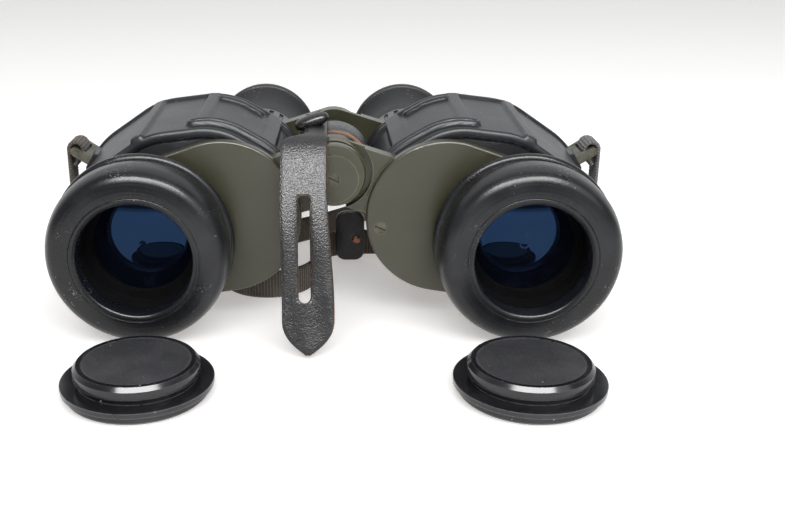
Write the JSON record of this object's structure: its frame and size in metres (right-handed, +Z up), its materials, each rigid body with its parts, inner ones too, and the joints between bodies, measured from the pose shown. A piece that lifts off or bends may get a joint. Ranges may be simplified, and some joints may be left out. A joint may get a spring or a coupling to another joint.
{
  "type": "binoculars",
  "caption": "Porro-prism binoculars with rubber armour, individually focused eyepieces, a folding hinge, a leather button tab, a webbing neck strap and loose objective caps.",
  "frame": {"origin": "on the table plane, under the middle of the width and of the depth from the loose caps to the eyecups (strap left out)", "axes": "+X to the right as seen from the objectives, +Y from the objectives to the eyepieces along the optical axes, +Z up"},
  "size_m": [0.2287, 0.2737, 0.0805],
  "materials": {
    "armour_rubber": "worn matte",
    "ring_rubber": "satin, polished by handling",
    "eyecup_rubber": "matte",
    "olive_paint": "satin, worn at the edges",
    "black_enamel": "satin",
    "dark_steel": "blackened",
    "steel": "turned",
    "anodised": "black anodised, matte",
    "coated_glass": "blue anti-reflection coating",
    "clear_glass": "polished",
    "prism_glass": "polished",
    "webbing": "ribbed weave",
    "black_leather": "pebbled, worn edges",
    "copper": "aged copper",
    "cap_plastic": "gloss",
    "cap_inlay_plastic": "grained"
  },
  "bodies": {
    "left_half": {"armour_left": "armour_rubber", "cover_screw_left": "dark_steel", "eyepiece_sleeve_left": "anodised", "front_arm_left": "olive_paint", "front_cover_left": "olive_paint", "front_prism_left": "prism_glass", "objective_bumper_left": "ring_rubber", "objective_lens_left": "coated_glass", "objective_retainer_left": "anodised", "objective_tube_left": "anodised", "prism_housing_left": "olive_paint", "prism_shelf_left": "anodised", "rear_arm_left": "olive_paint", "rear_cover_left": "olive_paint", "rear_prism_left": "prism_glass", "strap_end_loop_left": "webbing", "strap_lug_left": "black_enamel", "hinge_axle": "steel", "hinge_front_disc": "black_enamel", "hinge_rear_disc": "black_enamel", "hinge_screw": "dark_steel", "hinge_spacer": "black_enamel", "leather_tab": "black_leather", "neck_strap": "webbing", "strap_fitting": "black_leather", "strap_rivet": "copper"},
    "right_half": {"armour_right": "armour_rubber", "cover_screw_right": "dark_steel", "eyepiece_sleeve_right": "anodised", "front_arm_right": "olive_paint", "front_cover_right": "olive_paint", "front_prism_right": "prism_glass", "objective_bumper_right": "ring_rubber", "objective_lens_right": "coated_glass", "objective_retainer_right": "anodised", "objective_tube_right": "anodised", "prism_housing_right": "olive_paint", "prism_shelf_right": "anodised", "rear_arm_right": "olive_paint", "rear_cover_right": "olive_paint", "rear_prism_right": "prism_glass", "strap_end_loop_right": "webbing", "strap_lug_right": "black_enamel", "neck_strap_end": "webbing"},
    "eyepiece_left_slide": {"eyepiece_barrel_left": "anodised", "eye_lens_left": "coated_glass", "eyecup_left": "eyecup_rubber"},
    "eyepiece_right_slide": {"eyepiece_barrel_right": "anodised", "eye_lens_right": "coated_glass", "eyecup_right": "eyecup_rubber", "reticle_glass": "clear_glass"},
    "focus_left_turn": {"focus_ring_left": "black_enamel"},
    "focus_right_turn": {"focus_ring_right": "black_enamel"},
    "cap_left_loose": {"objective_cap_left": "cap_plastic", "cap_inlay_left": "cap_inlay_plastic"},
    "cap_right_loose": {"objective_cap_right": "cap_plastic", "cap_inlay_right": "cap_inlay_plastic"}
  },
  "joints": [
    {"name": "hinge_fold", "type": "hinge", "parent": "left_half", "child": "right_half", "pos_m": [0, 0.0149, 0.0604], "axis": [0, 1, 0], "range_deg": [-12, 24]},
    {"name": "focus_turn_left", "type": "hinge", "parent": "left_half", "child": "focus_left_turn", "pos_m": [-0.033, 0.0636, 0.0485], "axis": [0, 1, 0], "range_deg": [-75, 75]},
    {"name": "eyepiece_slide_left", "type": "slide", "parent": "left_half", "child": "eyepiece_left_slide", "axis": [0, 1, 0], "range_m": [-0.0024, 0.0024]},
    {"name": "focus_turn_right", "type": "hinge", "parent": "right_half", "child": "focus_right_turn", "pos_m": [0.033, 0.0636, 0.0485], "axis": [0, 1, 0], "range_deg": [-75, 75]},
    {"name": "eyepiece_slide_right", "type": "slide", "parent": "right_half", "child": "eyepiece_right_slide", "axis": [0, 1, 0], "range_m": [-0.0024, 0.0024]},
    {"name": "cap_lift_left", "type": "slide", "parent": "left_half", "child": "cap_left_loose", "axis": [0, 0, 1], "range_m": [0, 0.04]},
    {"name": "cap_lift_right", "type": "slide", "parent": "left_half", "child": "cap_right_loose", "axis": [0, 0, 1], "range_m": [0, 0.04]}
  ],
  "couplings": [
    {"joint": "eyepiece_slide_left", "follows": "focus_turn_left", "m_per_rad": 0.0018333},
    {"joint": "eyepiece_slide_right", "follows": "focus_turn_right", "m_per_rad": 0.0018333}
  ]
}
